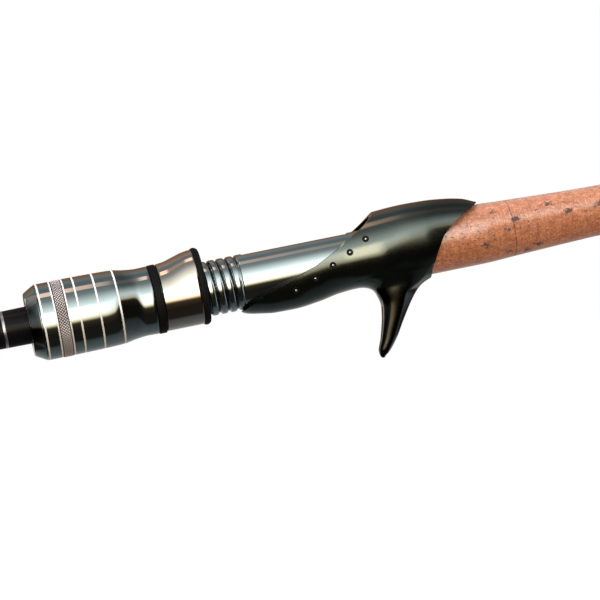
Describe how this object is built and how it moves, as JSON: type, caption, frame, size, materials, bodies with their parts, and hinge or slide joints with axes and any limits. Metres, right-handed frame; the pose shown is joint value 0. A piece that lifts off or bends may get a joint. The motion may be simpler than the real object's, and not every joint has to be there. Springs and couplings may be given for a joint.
{
  "type": "fishing rod",
  "caption": "Telescopic casting rod, stored collapsed: trigger seat with screw-down hood, cork grip, nested sections with line guides.",
  "frame": {"origin": "centre of the butt's end face, on the rod's axis", "axes": "+X along the rod's axis out of the butt, so the tip points to -X; +Z towards the side that holds the reel and the guides; the finger trigger points to -Z"},
  "size_m": [0.532, 0.0276, 0.0619],
  "materials": {
    "polished_metal": "polished gunmetal plating",
    "knurled_aluminium": "bright machined",
    "seat_paint": "dark green metallic paint under clear coat",
    "black_anodised": "black",
    "black_rubber": "matte",
    "varnished_cork": "cork, varnished",
    "gloss_black_blank": "black lacquered fibre composite",
    "guide_ring": "polished",
    "guide_frame": "black coated",
    "arbor_foam": "rigid foam"
  },
  "bodies": {
    "handle": {"seat_barrel": "polished_metal", "end_ferrule": "polished_metal", "butt_trim_ring": "polished_metal", "wrap_trim_ring": "knurled_aluminium", "seat_body": "seat_paint", "accent_stud_near_1": "black_anodised", "accent_stud_near_2": "black_anodised", "accent_stud_near_3": "black_anodised", "accent_stud_near_4": "black_anodised", "accent_stud_near_5": "black_anodised", "accent_stud_far_1": "black_anodised", "accent_stud_far_2": "black_anodised", "accent_stud_far_3": "black_anodised", "accent_stud_far_4": "black_anodised", "accent_stud_far_5": "black_anodised", "butt_cap": "black_rubber", "cork_section_1": "varnished_cork", "cork_section_2": "varnished_cork", "cork_section_3": "varnished_cork", "cork_section_4": "varnished_cork", "cork_section_5": "varnished_cork", "outer_tube": "gloss_black_blank", "tube_wrap": "gloss_black_blank", "guide_1_ring": "guide_ring", "guide_1_frame": "guide_frame", "arbor_front": "arbor_foam", "arbor_rear": "arbor_foam"},
    "hood": {"hood_shell": "polished_metal", "hood_rim": "black_rubber"},
    "nut": {"nut_collar": "polished_metal", "nut_shell": "polished_metal", "knurled_band": "knurled_aluminium", "thread_insert": "knurled_aluminium", "nut_seal_ring": "black_rubber"},
    "slider_2": {"section_2": "gloss_black_blank", "guide_2_frame": "guide_frame", "guide_2_ring": "guide_ring"},
    "slider_3": {"section_3": "gloss_black_blank", "guide_3_frame": "guide_frame", "guide_3_ring": "guide_ring"},
    "slider_4": {"section_4": "gloss_black_blank", "guide_4_frame": "guide_frame", "guide_4_ring": "guide_ring"},
    "slider_5": {"section_5": "gloss_black_blank", "tip_top_frame": "guide_frame", "tip_top_ring": "guide_ring"}
  },
  "joints": [
    {"name": "hood_slide", "type": "slide", "parent": "handle", "child": "hood", "axis": [1, 0, 0], "range_m": [-0.012, 0.008]},
    {"name": "nut_turn", "type": "hinge", "parent": "hood", "child": "nut", "pos_m": [-0.3248, 0, 0], "axis": [1, 0, 0], "range_deg": [-1320, 890]},
    {"name": "section_2_slide", "type": "slide", "parent": "handle", "child": "slider_2", "axis": [-1, 0, 0], "range_m": [0, 0.395]},
    {"name": "section_3_slide", "type": "slide", "parent": "slider_2", "child": "slider_3", "axis": [-1, 0, 0], "range_m": [0, 0.405]},
    {"name": "section_4_slide", "type": "slide", "parent": "slider_3", "child": "slider_4", "axis": [-1, 0, 0], "range_m": [0, 0.415]},
    {"name": "section_5_slide", "type": "slide", "parent": "slider_4", "child": "slider_5", "axis": [-1, 0, 0], "range_m": [0, 0.425]}
  ],
  "couplings": [
    {"joint": "nut_turn", "follows": "hood_slide", "rad_per_m": 1904}
  ]
}
